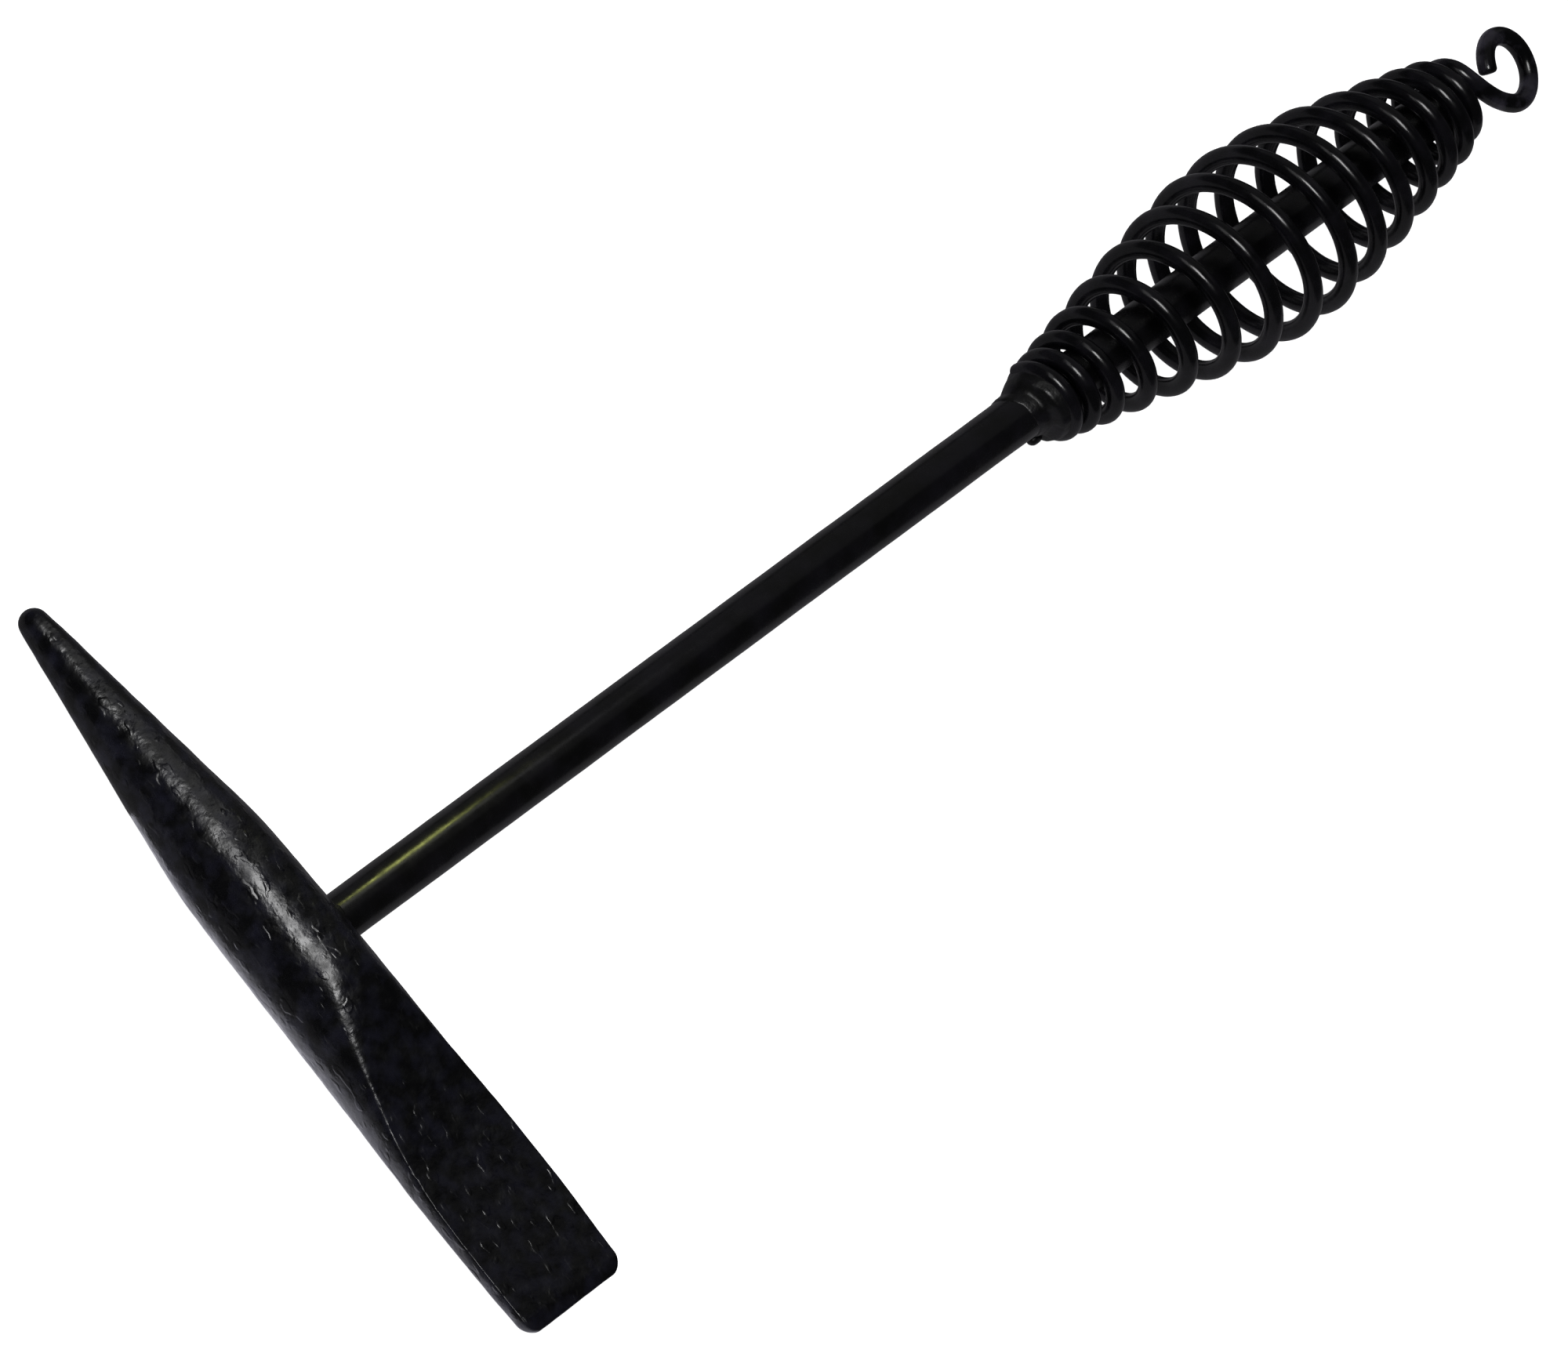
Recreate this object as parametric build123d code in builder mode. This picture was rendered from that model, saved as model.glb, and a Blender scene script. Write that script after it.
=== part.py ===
from build123d import *
from math import cos, hypot, pi, radians, sin, tan
import os

# Chipping hammer with a wound wire grip, in millimetres.
#
# The hammer's own axes: X runs along the rod from the head to the hanging ring, Y runs along
# the head from the chisel to the point, and Z stands square to the chisel's broad faces. They
# meet where the rod's centre line crosses the head's. The finished hammer is laid on its side
# at the end, as it rests on a bench.

# ---- driving dimensions: rod ----
rod_diameter = 8.0
rod_inner_end = -4.0            # bottom of the blind eye, past the head's centre line
rod_rear_end = 280.0
rod_chamfer = 0.6

# ---- driving dimensions: head ----
point_reach = 65.9              # head's centre to the tip of the point
chisel_reach = 68.2             # head's centre to the chisel's edge
point_tip_radius = 2.5
point_half_angle = 7.7          # degrees
point_base = 23.2               # where the straight cone ends
shoulder_radius = 85.0
body_half_angle = 1.2           # the bar's slight taper towards the point, in degrees
flare_start = -15.0
flare_points = [(9.67, -26.0), (10.42, -33.6), (11.0, -43.0), (11.12, -52.0)]
blade_end_radius = 10.85        # half width where the end corners begin
blade_end = -65.0
blade_end_slope = 0.03          # narrowing of the blade's sides where the corners begin
corner_width = 2.3
corner_radius = 2.9
scallop_radius = 105.0
scallop_start = -46.0           # the blade is a plain taper from here to the edge
blade_half_thickness = 1.64     # at scallop_start
blade_taper = 1.6               # degrees, each face
bevel_length = 2.2
edge_half_thickness = 0.5
scallop_sweep = 26.0            # degrees, enough to run out of the bar
eye_clearance = 0.05
cutting_depth = 16.0            # half depth of the profile that presses the flats, past the bar

# ---- driving dimensions: wound grip ----
wire_diameter = 3.1
coil_start = 176.6              # centre of the wire's front end
coil_start_angle = 3.6          # degrees from +Y towards +Z
coil_turns = 15.1
closed_pitch = 3.8
open_pitch = 8.7
opening_turn = 0.94             # the pitch grows from here
opening_turns = 3.72            # and is fully open this many turns later
closing_turn = 9.77
closing_turns = 5.35
belly_position = 232.2          # widest place
belly_radius = 14.68            # to the wire's centre
belly_rounding = 13.9
front_slope = 0.214             # growth of the radius along X, in front of the belly
rear_slope = 0.232
coil_offset = -0.32             # the coil sits a little to the chisel side of the rod
last_turn = 13.9                # the wire is drawn in from here to meet the ring
last_turn_length = 0.55
last_turn_draw = 0.82
points_per_turn = 12

# ---- driving dimensions: hanging ring, bent from the rear end of the same wire ----
ring_centre = Vector(290.6, -1.85, 2.95)
ring_normal = Vector(0.21, -0.30, 0.93)
ring_radius = 5.55              # to the wire's centre
ring_start_angle = 244.0
ring_arc = 270.0
lead_start_pull = 0.25          # how stiffly the lead leaves the coil, as a share of its span
lead_end_pull = 0.52

# ---- driving dimensions: welds ----
head_bead_leg = 1.3
head_bead_start = 6.5           # inside the round of the bar, which trims it
head_bead_toe = 9.3             # where the bead stops standing at its full height
front_bead_start = 169.6
front_bead_toe = 171.8          # a thin lip runs from the start to here
front_bead_lip = 0.35           # height of that lip over the rod
front_bead_shoulder = 176.0     # the bead has climbed the first turn here
front_bead_end = 177.0
front_bead_rise = 2.7
front_tack_radius = 1.7
front_tack_centre = (174.2, -4.0, -3.2)
rear_tack_radius = 2.0
rear_tack_inset = 0.2           # from the rod's rear end

# ---- how the hammer lies ----
lying_pitch = -1.79             # degrees about Y: the rod rises towards the belly of the grip
lying_roll = -1.21             # degrees about X: the bar rests along its tapered underside

rod_radius = rod_diameter / 2
wire_radius = wire_diameter / 2
hug_radius = rod_radius + wire_radius + abs(coil_offset)


def smooth_step(share):
    """Rise smoothly from 0 to 1 while share goes from 0 to 1."""
    share = min(max(share, 0.0), 1.0)
    return share * share * (3 - 2 * share)


def pitch_at(turn):
    """Advance along X for each turn of the wire: closed, then open, then closed again."""
    opened = smooth_step((turn - opening_turn) / opening_turns)
    closed = smooth_step((turn - closing_turn) / closing_turns)
    return closed_pitch + (open_pitch - closed_pitch) * (opened - closed)


def coil_radius_at(x, turn):
    """Radius to the wire's centre: two cones that meet in a rounded belly."""
    distance = x - belly_position
    slope = front_slope if distance < 0 else rear_slope
    cone = belly_radius - slope * (hypot(distance, belly_rounding) - belly_rounding)
    drawn_in = last_turn_draw * smooth_step((turn - last_turn) / last_turn_length)
    return max(cone, hug_radius) - drawn_in


def coil_points():
    """Points along the wire's centre line, from the front end to the start of the lead."""
    points = []
    x = coil_start
    for step in range(round(coil_turns * points_per_turn) + 1):
        turn = step / points_per_turn
        angle = radians(coil_start_angle) + 2 * pi * turn
        radius = coil_radius_at(x, turn)
        points.append(Vector(x, coil_offset + radius * cos(angle), radius * sin(angle)))
        x += pitch_at(turn + 0.5 / points_per_turn) / points_per_turn
    return points


# ---- head: revolved about its own axis, then forged flat towards the chisel ----
with BuildPart() as head:
    with BuildSketch(Plane.XY):
        with BuildLine():
            tip = CenterArc(
                (0, point_reach - point_tip_radius),
                point_tip_radius,
                point_half_angle,
                90 - point_half_angle,
            )
            base_radius = (tip @ 0).X + ((tip @ 0).Y - point_base) * tan(radians(point_half_angle))
            cone = Line(tip @ 0, (base_radius, point_base))
            shoulder = JernArc(
                cone @ 1, cone % 1, shoulder_radius, body_half_angle - point_half_angle
            )
            body_run = (shoulder @ 1).Y - flare_start
            flare_radius = (shoulder @ 1).X + body_run * tan(radians(body_half_angle))
            body = Line(shoulder @ 1, (flare_radius, flare_start))
            flare = Spline(
                body @ 1,
                *flare_points,
                (blade_end_radius, blade_end),
                tangents=[body % 1, (-blade_end_slope, -1)],
            )
            corner_end = (blade_end_radius - corner_width, -chisel_reach)
            corner = RadiusArc(flare @ 1, corner_end, corner_radius)
            Polyline(corner @ 1, (0, -chisel_reach), (0, point_reach))
        make_face()
    revolve(axis=Axis.Y)
    with BuildSketch(Plane.YZ):
        with BuildLine():
            bevel = Line(
                (-chisel_reach, edge_half_thickness),
                (
                    -chisel_reach + bevel_length,
                    blade_half_thickness
                    - (chisel_reach - bevel_length + scallop_start) * tan(radians(blade_taper)),
                ),
            )
            taper = Line(bevel @ 1, (scallop_start, blade_half_thickness))
            scallop = JernArc(taper @ 1, taper % 1, scallop_radius, scallop_sweep)
            Polyline(
                scallop @ 1,
                (point_reach + 1, (scallop @ 1).Y),
                (point_reach + 1, 0),
                (-chisel_reach, 0),
                bevel @ 0,
            )
        make_face()
        mirror(about=Plane.XZ)
    extrude(amount=cutting_depth, both=True, mode=Mode.INTERSECT)
    with BuildSketch(Plane.YZ.offset(rod_inner_end)):
        Circle(rod_radius + eye_clearance)
    extrude(amount=cutting_depth, mode=Mode.SUBTRACT)
head.part.label = "head"

# ---- rod: blind end in the head's eye, rear end inside the last coils ----
with BuildPart() as rod:
    with BuildSketch(Plane.YZ.offset(rod_inner_end)):
        Circle(rod_radius)
    extrude(amount=rod_rear_end - rod_inner_end)
    chamfer(rod.edges(), rod_chamfer)
rod.part.label = "rod"

# ---- wound grip: coil, lead and hanging ring are one wire ----
ring_plane = Plane(origin=ring_centre, x_dir=Vector(1, 0, 0), z_dir=ring_normal)
with BuildLine(ring_plane) as ring_line:
    CenterArc((0, 0), ring_radius, ring_start_angle, ring_arc)
ring_start = ring_line.line @ 0
ring_direction = ring_line.line % 0

with BuildLine() as wire_line:
    coil = Spline(*coil_points())
    span = (ring_start - coil @ 1).length
    Bezier(
        coil @ 1,
        coil @ 1 + coil % 1 * span * lead_start_pull,
        ring_start - ring_direction * span * lead_end_pull,
        ring_start,
    )
    add(ring_line.line)

with BuildPart() as grip_spring:
    with BuildSketch(Plane(origin=coil @ 0, z_dir=coil % 0)):
        Circle(wire_radius)
    sweep(path=wire_line.line, is_frenet=True)
grip_spring.part.label = "grip_spring"

# ---- bead between the head and the rod ----
with BuildPart() as head_weld:
    with BuildSketch(Plane.XY):
        with BuildLine():
            Polyline(
                (head_bead_start, rod_radius),
                (head_bead_start, rod_radius + head_bead_leg),
                (head_bead_toe, rod_radius + head_bead_leg),
                (head_bead_toe + head_bead_leg, rod_radius),
                close=True,
            )
        make_face()
    revolve(axis=Axis.X)
    add(head.part, mode=Mode.SUBTRACT)
head_weld.part.label = "head_weld"

# ---- bead that closes the front turn on the rod ----
with BuildPart() as front_spring_weld:
    with BuildSketch(Plane.XY):
        with BuildLine():
            Polyline(
                (front_bead_start, rod_radius),
                (front_bead_end, rod_radius),
                (front_bead_end, rod_radius + front_bead_rise),
                (front_bead_shoulder, rod_radius + front_bead_rise),
                (front_bead_toe, rod_radius + front_bead_lip),
                close=True,
            )
        make_face()
    revolve(axis=Axis.X)
    add(grip_spring.part, mode=Mode.SUBTRACT)
front_spring_weld.part.label = "front_spring_weld"

# ---- small tack on the foot of that bead, low on the chisel side ----
with BuildPart() as front_tack_weld:
    with Locations(front_tack_centre):
        Sphere(front_tack_radius)
    add(rod.part, mode=Mode.SUBTRACT)
    add(front_spring_weld.part, mode=Mode.SUBTRACT)
    add(grip_spring.part, mode=Mode.SUBTRACT)
front_tack_weld.part.label = "front_tack_weld"

# ---- tack between the rod's rear end and the last turn, on the underside ----
with BuildPart() as rear_spring_weld:
    with Locations((rod_rear_end - rear_tack_inset, coil_offset, -rod_radius)):
        Sphere(rear_tack_radius)
    add(rod.part, mode=Mode.SUBTRACT)
    add(grip_spring.part, mode=Mode.SUBTRACT)
rear_spring_weld.part.label = "rear_spring_weld"

# ---- lay the hammer on its side, with the middle of its box on the origin ----
pieces = [head, rod, grip_spring, head_weld, front_spring_weld, front_tack_weld, rear_spring_weld]
attitude = Location((0, 0, 0), (lying_roll, lying_pitch, 0))
laid_down = [piece.part.moved(attitude) for piece in pieces]
box = Compound(laid_down).bounding_box()
to_origin = Location((-box.center().X, -box.center().Y, -box.min.Z))

os.makedirs("parts", exist_ok=True)
for part in laid_down:
    export_step(part.moved(to_origin), f"parts/{part.label}.step")
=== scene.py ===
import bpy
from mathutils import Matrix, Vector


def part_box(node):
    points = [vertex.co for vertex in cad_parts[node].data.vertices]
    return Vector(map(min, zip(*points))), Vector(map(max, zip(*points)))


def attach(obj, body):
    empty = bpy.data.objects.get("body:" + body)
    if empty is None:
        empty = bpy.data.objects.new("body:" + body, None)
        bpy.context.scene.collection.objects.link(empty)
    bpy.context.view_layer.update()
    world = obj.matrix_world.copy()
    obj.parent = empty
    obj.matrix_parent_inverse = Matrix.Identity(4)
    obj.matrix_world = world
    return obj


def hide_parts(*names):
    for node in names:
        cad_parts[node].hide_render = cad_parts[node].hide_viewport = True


bl_info = {
    "name": "Chipping Hammer",
    "version": (1, 0, 0),
    "blender": (4, 5, 0),
    "location": "View3D > Sidebar > Chipping Hammer",
    "description": "Builds a welder's chipping hammer with a wound wire grip, painted black",
    "category": "Add Mesh",
}

from math import atan2, ceil, cos, hypot, pi, radians, sin, sqrt, tan

import bmesh
import bpy
from bpy.props import FloatProperty, FloatVectorProperty, PointerProperty, StringProperty
from mathutils import Matrix, Vector, noise

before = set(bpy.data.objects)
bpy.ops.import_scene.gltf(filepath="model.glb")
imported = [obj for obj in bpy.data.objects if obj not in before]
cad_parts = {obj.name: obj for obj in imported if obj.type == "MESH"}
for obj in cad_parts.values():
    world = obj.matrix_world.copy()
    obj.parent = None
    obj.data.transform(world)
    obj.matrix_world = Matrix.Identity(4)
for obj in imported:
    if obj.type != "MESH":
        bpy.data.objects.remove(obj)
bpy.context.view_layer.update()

# The hammer's own axes, used by every piece below: X runs along the rod from the head to the
# hanging ring, Y along the head from the chisel to the point, and Z stands square to the
# chisel's broad faces. They meet where the rod's centre line crosses the head's.
MM = 0.001
ROD_INNER_END = -4.0 * MM  # hidden in the head
ROD_REAR_END = 280.0 * MM
BODY = "root"
MERGE_DISTANCE = 0.001 * MM


# ---------------------------------------------------------------- settings


class HammerSettings(bpy.types.PropertyGroup):
    """How the hammer lies, and the sizes that its pieces share"""

    pitch: FloatProperty(
        name="Lying pitch",
        description="The rod rises this much towards the belly of the grip",
        default=radians(-1.79),
        subtype="ANGLE",
    )
    roll: FloatProperty(
        name="Lying roll",
        description="The bar rests along its tapered underside",
        default=radians(-1.21),
        subtype="ANGLE",
    )
    rod_diameter: FloatProperty(
        name="Rod diameter",
        description="Outside diameter of the drawn rod",
        default=8.0 * MM,
        unit="LENGTH",
    )
    rod_wave: FloatProperty(
        name="Rod paint wave",
        description="How far the enamel on the rod swells and thins",
        default=0.03 * MM,
        unit="LENGTH",
    )


class HeadSettings(bpy.types.PropertyGroup):
    """Sizes of the forged head"""

    point_reach: FloatProperty(
        name="Point reach",
        description="From the head's centre to the tip of the point",
        default=65.9 * MM,
        unit="LENGTH",
    )
    chisel_reach: FloatProperty(
        name="Chisel reach",
        description="From the head's centre to the chisel's edge",
        default=68.2 * MM,
        unit="LENGTH",
    )
    tip_radius: FloatProperty(
        name="Tip radius",
        description="Rounding of the point",
        default=2.5 * MM,
        unit="LENGTH",
    )
    point_half_angle: FloatProperty(
        name="Point half angle",
        description="Slope of the point's cone",
        default=radians(7.7),
        subtype="ANGLE",
    )
    blade_end_radius: FloatProperty(
        name="Blade half width",
        description="Half the chisel's width where its end corners begin",
        default=10.85 * MM,
        unit="LENGTH",
    )
    blade_half_thickness: FloatProperty(
        name="Blade half thickness",
        description="Half the chisel's thickness where the scallop meets its taper",
        default=1.64 * MM,
        unit="LENGTH",
    )
    grain: FloatProperty(
        name="Mesh grain",
        description="Distance between the rings of vertices along the head",
        default=0.36 * MM,
        unit="LENGTH",
    )
    forge_wave: FloatProperty(
        name="Forge wave",
        description="Height of the shallow dents that the forging blows leave",
        default=0.10 * MM,
        unit="LENGTH",
    )
    forge_skin: FloatProperty(
        name="Forge skin",
        description="Height of the small lumps of scale under the paint",
        default=0.03 * MM,
        unit="LENGTH",
    )


class GripSettings(bpy.types.PropertyGroup):
    """Sizes of the wound wire and of the hanging ring at its rear end"""

    wire_diameter: FloatProperty(
        name="Wire diameter",
        description="Outside diameter of the wire",
        default=3.1 * MM,
        unit="LENGTH",
    )
    belly_radius: FloatProperty(
        name="Belly radius",
        description="Radius of the widest turn, to the wire's centre",
        default=14.68 * MM,
        unit="LENGTH",
    )
    ring_radius: FloatProperty(
        name="Ring radius",
        description="Radius of the hanging ring, to the wire's centre",
        default=5.55 * MM,
        unit="LENGTH",
    )
    wire_wave: FloatProperty(
        name="Wire paint wave",
        description="How far the enamel on the wire swells and thins",
        default=0.035 * MM,
        unit="LENGTH",
    )


class FinishSettings(bpy.types.PropertyGroup):
    """Colours of the enamel and of the bench, as sRGB hex"""

    head_dark: StringProperty(
        name="Head dark", description="Deep tone of the head's enamel", default="#08080A"
    )
    head_light: StringProperty(
        name="Head light",
        description="Bluish black of the cloudy patches on the head",
        default="#1B1B26",
    )
    wire_light: StringProperty(
        name="Wire light",
        description="Paler black where the paint is thin on the rod and the wire",
        default="#141318",
    )
    rod_tone: StringProperty(
        name="Rod", description="Tone of the rod's enamel", default="#090909"
    )
    wire_tone: StringProperty(
        name="Wire", description="Tone of the wire's enamel", default="#08080A"
    )
    weld_tone: StringProperty(
        name="Welds", description="Tone of the enamel over the welds", default="#0A0A0A"
    )
    floor_tone: StringProperty(
        name="Floor", description="Colour of the bench", default="#F2F2F2"
    )


class StageSettings(bpy.types.PropertyGroup):
    """Where the camera stands and what it looks at"""

    aim: FloatVectorProperty(
        name="Aim",
        description="Point that the camera looks at",
        default=(-78.2 * MM, -12.3 * MM, 61.0 * MM),
        unit="LENGTH",
    )
    azimuth: FloatProperty(
        name="Azimuth",
        description="Direction of view round the vertical, from +Y towards +X",
        default=radians(86.96),
        subtype="ANGLE",
    )
    elevation: FloatProperty(
        name="Elevation",
        description="Height of the camera above the bench",
        default=radians(51.249),
        subtype="ANGLE",
    )
    camera_roll: FloatProperty(
        name="Roll",
        description="Turn of the camera about its own view",
        default=radians(49.66),
        subtype="ANGLE",
    )
    distance: FloatProperty(
        name="Distance",
        description="From the camera to its aim",
        default=3.1,
        unit="LENGTH",
    )
    lens: FloatProperty(
        name="Lens",
        description="Focal length of the camera, in millimetres",
        default=471.0,
        subtype="NONE",
    )


def settings(part):
    """The settings of one part of the hammer."""
    return getattr(bpy.context.scene, "hammer_" + part)


# ---------------------------------------------------------------- shared helpers


def linear(hex_colour):
    """Turn an sRGB hex colour into linear red, green, blue and alpha."""
    channels = [int(hex_colour[start : start + 2], 16) / 255 for start in (1, 3, 5)]
    return [c / 12.92 if c <= 0.04045 else ((c + 0.055) / 1.055) ** 2.4 for c in channels] + [1.0]


def attitude():
    """The hammer's own axes as it lies, and its origin, found from the rod's place."""
    hammer = settings("whole")
    turn = Matrix.Rotation(hammer.roll, 3, "X") @ Matrix.Rotation(hammer.pitch, 3, "Y")
    low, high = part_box("rod")
    middle = turn @ Vector(((ROD_INNER_END + ROD_REAR_END) / 2, 0, 0))
    return turn, (low + high) / 2 - middle


def smooth_step(share):
    """Rise smoothly from 0 to 1 while share goes from 0 to 1."""
    share = min(max(share, 0.0), 1.0)
    return share * share * (3 - 2 * share)


def soft_min(first, second, blend):
    """The smaller of two lengths, rounded where they cross."""
    overlap = max(blend - abs(first - second), 0.0) / blend
    return min(first, second) - overlap * overlap * blend / 4


def wave(point, size, octaves=2):
    """Smooth noise between about -1 and 1 with lumps of that size."""
    return noise.fractal(point / size, 1.0, 2.0, octaves)


def rings_to_faces(ring_count, sides, first_pole=None, last_pole=None):
    """Quads between rings of vertices, closed at the ends by fans to the poles."""
    faces = []
    for ring in range(ring_count - 1):
        for side in range(sides):
            after = (side + 1) % sides
            here, beyond = ring * sides, (ring + 1) * sides
            faces.append((here + side, here + after, beyond + after, beyond + side))
    last = (ring_count - 1) * sides
    for side in range(sides):
        after = (side + 1) % sides
        if first_pole is not None:
            faces.append((first_pole, after, side))
        if last_pole is not None:
            faces.append((last_pole, last + side, last + after))
    return faces


def tube(path, radii, sides):
    """Vertices and faces of a closed tube along a path, its rings turned as little as possible."""
    points = []
    tangent = (path[1] - path[0]).normalized()
    across = tangent.orthogonal().normalized()
    for place, centre in enumerate(path):
        behind, ahead = path[max(place - 1, 0)], path[min(place + 1, len(path) - 1)]
        new_tangent = (ahead - behind).normalized()
        across = tangent.rotation_difference(new_tangent) @ across
        across = (across - new_tangent * across.dot(new_tangent)).normalized()
        tangent = new_tangent
        beside = tangent.cross(across)
        for side in range(sides):
            angle = 2 * pi * side / sides
            points.append(centre + radii[place] * (across * cos(angle) + beside * sin(angle)))
    first_pole, last_pole = len(points), len(points) + 1
    points += [path[0], path[-1]]
    return points, rings_to_faces(len(path), sides, first_pole, last_pole)


def make_piece(name, points, faces, node, material):
    """Lay a piece's mesh where the hammer lies and let it stand for its plain CAD node."""
    turn, origin = attitude()
    mesh = bpy.data.meshes.new(name)
    mesh.from_pydata([turn @ point + origin for point in points], [], faces)
    form = bmesh.new()
    form.from_mesh(mesh)
    bmesh.ops.remove_doubles(form, verts=form.verts, dist=MERGE_DISTANCE)
    bmesh.ops.recalc_face_normals(form, faces=form.faces)
    form.to_mesh(mesh)
    form.free()
    mesh.shade_smooth()
    mesh.materials.append(material)
    piece = bpy.data.objects.new(name, mesh)
    bpy.context.scene.collection.objects.link(piece)
    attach(piece, BODY)
    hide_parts(node)
    return piece


def soften(piece, passes, strength):
    """Draw a piece's vertices towards the middle of their neighbours, several times over."""
    form = bmesh.new()
    form.from_mesh(piece.data)
    for _ in range(passes):
        bmesh.ops.smooth_vert(
            form,
            verts=form.verts,
            factor=strength,
            use_axis_x=True,
            use_axis_y=True,
            use_axis_z=True,
        )
    form.to_mesh(piece.data)
    form.free()


def roughen(piece, layers):
    """Push a piece's vertices along their normals by layers of (lump size, height)."""
    mesh = piece.data
    normals = [vertex.normal.copy() for vertex in mesh.vertices]
    for vertex, normal in zip(mesh.vertices, normals):
        vertex.co += normal * sum(wave(vertex.co, size) * height for size, height in layers)
    mesh.update()


# ---------------------------------------------------------------- finishes


def add_node(tree, kind, feeds=None, **values):
    """Add a node: feeds maps its sockets to outputs, values set its other sockets or fields."""
    node = tree.nodes.new(kind)
    for key, value in values.items():
        socket = key.replace("_", " ").title()
        if hasattr(node, key):
            setattr(node, key, value)
        elif socket in node.inputs:
            node.inputs[socket].default_value = value
        else:
            raise RuntimeError(f"{kind} has no {key}")
    for key, output in (feeds or {}).items():
        tree.links.new(output, node.inputs[key])
    return node


def noise_value(tree, place, size, detail):
    """Noise between 0 and 1 whose features are this big, in metres."""
    texture = add_node(
        tree, "ShaderNodeTexNoise", {"Vector": place}, scale=1.0 / size, detail=detail
    )
    return texture.outputs["Fac"]


def ramp(tree, value, start, end, low=0.0, high=1.0):
    """Go from low to high while a value goes from start to end."""
    mapped = add_node(
        tree,
        "ShaderNodeMapRange",
        {"Value": value},
        from_min=start,
        from_max=end,
        to_min=low,
        to_max=high,
    )
    return mapped.outputs["Result"]


def mixed(tree, share):
    """A node that mixes two colours: its inputs 6 and 7, by a share."""
    return add_node(tree, "ShaderNodeMix", {0: share}, data_type="RGBA", blend_type="MIX")


def bumped(tree, height, distance, under=None):
    """The normal over a height map that stands this high in metres, on top of another normal."""
    feeds = {"Height": height}
    if under is not None:
        feeds["Normal"] = under
    return add_node(tree, "ShaderNodeBump", feeds, distance=distance).outputs["Normal"]


PATCH_RISE = (0.42, 0.68)  # the noise between these turns the dark tone into the light one
GLOSS_GRAIN = 2.2 * MM
GLOSS_RISE = (0.3, 0.7)  # and between these the glossiest paint into the dullest
FLAKE_RISE = (0.60, 0.68)  # and between these it climbs the edge of a flake
FLAKE_WIDTH_SHARE = 0.55  # a flake's width over its length along the head
PAINTED_LIGHT_FROM = 139 * MM  # the hanging ring is painted paler from here on: painted light, for a broad light falling on it
PAINTED_LIGHT_FADE = 3 * MM
PAINTED_LIGHT_TONE = "#3A3842"
ENAMEL_IOR = 1.5


def black_enamel(name, dark, light, patch, rough, peel, lumps, flakes=None, painted_light=None):
    """Black paint over steel. peel, lumps and flakes are (size, height) of what breaks its gloss.

    patch is the size of its cloudy patches, and rough its least and greatest roughness. The last
    argument is (place along X, tone): past that place a paler tone is painted in, as painted light.
    """
    material = bpy.data.materials.new(name)
    material.use_nodes = True
    tree = material.node_tree
    tree.nodes.clear()
    place = add_node(tree, "ShaderNodeTexCoord").outputs["Object"]

    # Thin and thick paint differ a little in tone and in gloss, over patches and in fine grain.
    tone = ramp(tree, noise_value(tree, place, patch, 4.0), *PATCH_RISE)
    colour = mixed(tree, tone)
    colour.inputs[6].default_value = linear(dark)
    colour.inputs[7].default_value = linear(light)
    if painted_light:
        # Painted light: past a place along the hammer a paler tone is mixed in, standing for a
        # broad light on the ring.
        light_from, light_tone = painted_light
        along = add_node(tree, "ShaderNodeSeparateXYZ", {"Vector": place}).outputs["X"]
        past = ramp(tree, along, light_from - PAINTED_LIGHT_FADE, light_from + PAINTED_LIGHT_FADE)
        lit_share = add_node(tree, "ShaderNodeMath", {0: past, 1: tone}, operation="MULTIPLY")
        base_colour = colour.outputs[2]
        colour = mixed(tree, lit_share.outputs["Value"])
        tree.links.new(base_colour, colour.inputs[6])
        colour.inputs[7].default_value = linear(light_tone)
    roughness = ramp(tree, noise_value(tree, place, GLOSS_GRAIN, 5.0), *GLOSS_RISE, *rough)

    # Orange peel from the spray, and lumps of scale that show through it.
    normal = bumped(tree, noise_value(tree, place, peel[0], 2.0), peel[1])
    normal = bumped(tree, noise_value(tree, place, lumps[0], 3.0), lumps[1], normal)
    if flakes:
        # Flakes of forge scale, drawn out along the head: sparse islands with steep edges.
        drawn = add_node(tree, "ShaderNodeMapping", {"Vector": place})
        drawn.inputs["Scale"].default_value = (1.0, FLAKE_WIDTH_SHARE, 1.0)
        islands = noise_value(tree, drawn.outputs["Vector"], flakes[0], 1.0)
        normal = bumped(tree, ramp(tree, islands, *FLAKE_RISE), flakes[1], normal)

    shader = add_node(
        tree,
        "ShaderNodeBsdfPrincipled",
        {"Base Color": colour.outputs[2], "Roughness": roughness, "Normal": normal},
    )
    shader.inputs["IOR"].default_value = ENAMEL_IOR
    output = add_node(tree, "ShaderNodeOutputMaterial")
    tree.links.new(shader.outputs["BSDF"], output.inputs["Surface"])
    return material


def forging_enamel():
    """Brushed black enamel over forge scale: soft, broken streaks with small bright flecks."""
    finish = settings("finish")
    return black_enamel(
        "black enamel over forge scale",
        finish.head_dark,
        finish.head_light,
        patch=3 * MM,
        rough=(0.17, 0.40),
        peel=(0.8 * MM, 0.05 * MM),
        lumps=(2.8 * MM, 0.17 * MM),
        flakes=(1.7 * MM, 0.065 * MM),
    )


def rod_enamel():
    """Sprayed black enamel on cold drawn bar: a thin, nearly straight streak of gloss."""
    finish = settings("finish")
    return black_enamel(
        "black enamel on drawn bar",
        finish.rod_tone,
        finish.wire_light,
        patch=7 * MM,
        rough=(0.18, 0.30),
        peel=(1.1 * MM, 0.012 * MM),
        lumps=(5.0 * MM, 0.03 * MM),
    )


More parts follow.
